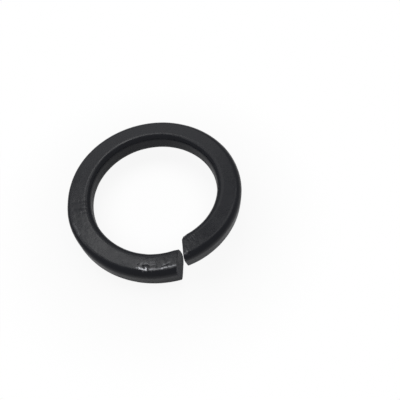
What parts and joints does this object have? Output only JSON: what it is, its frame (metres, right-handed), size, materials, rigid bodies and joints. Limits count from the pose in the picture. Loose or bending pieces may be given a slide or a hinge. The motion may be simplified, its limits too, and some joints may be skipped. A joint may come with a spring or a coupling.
{
  "type": "spring lock washer",
  "caption": "Split spring lock washer: a left-hand coil of heavily rounded square steel wire with slanted sheared ends, black coated.",
  "frame": {"origin": "on the axis of the bore, in the plane of the lowest edge", "axes": "+Z along the bore axis, from the lower end towards the upper end; the gap between the ends faces -Y; the coil climbs clockwise seen from +Z"},
  "size_m": [0.0584, 0.0584, 0.016],
  "materials": {
    "black_coating": "near-black semi-gloss electrocoat over spring steel, slightly lumpy"
  },
  "bodies": {
    "root": {"lock_washer": "black_coating"}
  },
  "joints": []
}
